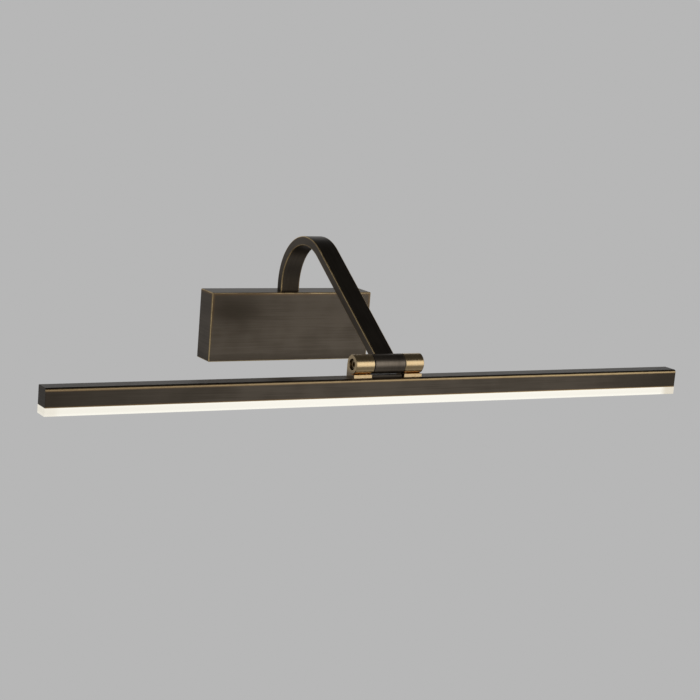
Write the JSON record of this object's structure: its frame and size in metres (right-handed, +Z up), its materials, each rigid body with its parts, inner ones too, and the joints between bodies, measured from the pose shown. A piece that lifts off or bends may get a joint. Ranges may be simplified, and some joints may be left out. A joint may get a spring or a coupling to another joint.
{
  "type": "picture light",
  "caption": "Wall-mounted LED picture light: flat wall box, bent over-arm and a long slim light bar with an opal underside that tilts on a barrel hinge.",
  "frame": {"origin": "middle of the wall box's back face, on the wall plane", "axes": "+X along the light bar, +Y into the wall, +Z up; the light bar stands out towards -Y"},
  "size_m": [0.6, 0.2095, 0.121],
  "materials": {
    "dark_bronze": "brushed dark bronze, brass showing through on the edges",
    "brushed_brass": "brushed satin",
    "screw_brass": "turned, aged",
    "bronze_screws": "dark bronze",
    "zinc_steel": "zinc plated",
    "bare_aluminium": "mill finish",
    "opal_acrylic": "opal, satin, lit from inside",
    "board_white": "solder mask white",
    "led_yellow": "phosphor yellow",
    "circuit_green": "solder mask",
    "black_nylon": "matt",
    "black_plastic": "matt",
    "white_plastic": "matt",
    "black_rubber": "matt",
    "cable_sheath": "matt",
    "mains_sheath": "satin",
    "earth_sheath": "satin"
  },
  "bodies": {
    "wall_unit": {"wall_bracket": "zinc_steel", "wall_cover": "dark_bronze", "cover_hooks": "zinc_steel", "cover_screws": "bronze_screws", "entry_grommet": "black_rubber", "driver_base": "white_plastic", "driver_lid": "white_plastic", "driver_board": "circuit_green", "driver_parts": "black_plastic", "driver_screws": "zinc_steel", "terminal_block": "white_plastic", "terminal_screws": "zinc_steel", "terminal_fixing": "zinc_steel", "earth_screw": "brushed_brass", "earth_ring": "zinc_steel", "earth_lead": "earth_sheath", "mains_leads": "mains_sheath", "arm_flange": "zinc_steel", "flange_studs": "zinc_steel", "flange_nuts": "zinc_steel", "arm": "dark_bronze", "arm_cable": "cable_sheath", "barrel": "dark_bronze", "hollow_pivot": "brushed_brass", "pivot_nut": "brushed_brass", "wave_washer": "zinc_steel", "friction_washer_left": "black_nylon", "friction_washer_right": "black_nylon"},
    "light_bar": {"disc_spring": "zinc_steel", "lug_left": "brushed_brass", "lug_right": "brushed_brass", "lug_plug": "brushed_brass", "lug_screws": "zinc_steel", "lug_pins": "zinc_steel", "saddle": "dark_bronze", "saddle_screws": "zinc_steel", "bar_channel": "dark_bronze", "end_cap_left": "dark_bronze", "end_cap_right": "dark_bronze", "led_tray": "bare_aluminium", "tray_spacers": "zinc_steel", "led_board": "board_white", "led_chips": "led_yellow", "board_screws": "zinc_steel", "diffuser": "opal_acrylic", "diffuser_end_left": "opal_acrylic", "diffuser_end_right": "opal_acrylic", "bar_cable": "cable_sheath", "bar_grommet": "black_rubber", "bar_connector": "white_plastic"},
    "pivot_screw": {"pivot_screw": "screw_brass"}
  },
  "joints": [
    {"name": "bar_tilt", "type": "hinge", "parent": "wall_unit", "child": "light_bar", "pos_m": [0, -0.2013, 0.0008], "axis": [1, 0, 0], "range_deg": [-90, 65]},
    {"name": "pivot_screw_turn", "type": "hinge", "parent": "wall_unit", "child": "pivot_screw", "pos_m": [-0.03, -0.2013, 0.0008], "axis": [1, 0, 0], "range_deg": [-360, 0]}
  ]
}
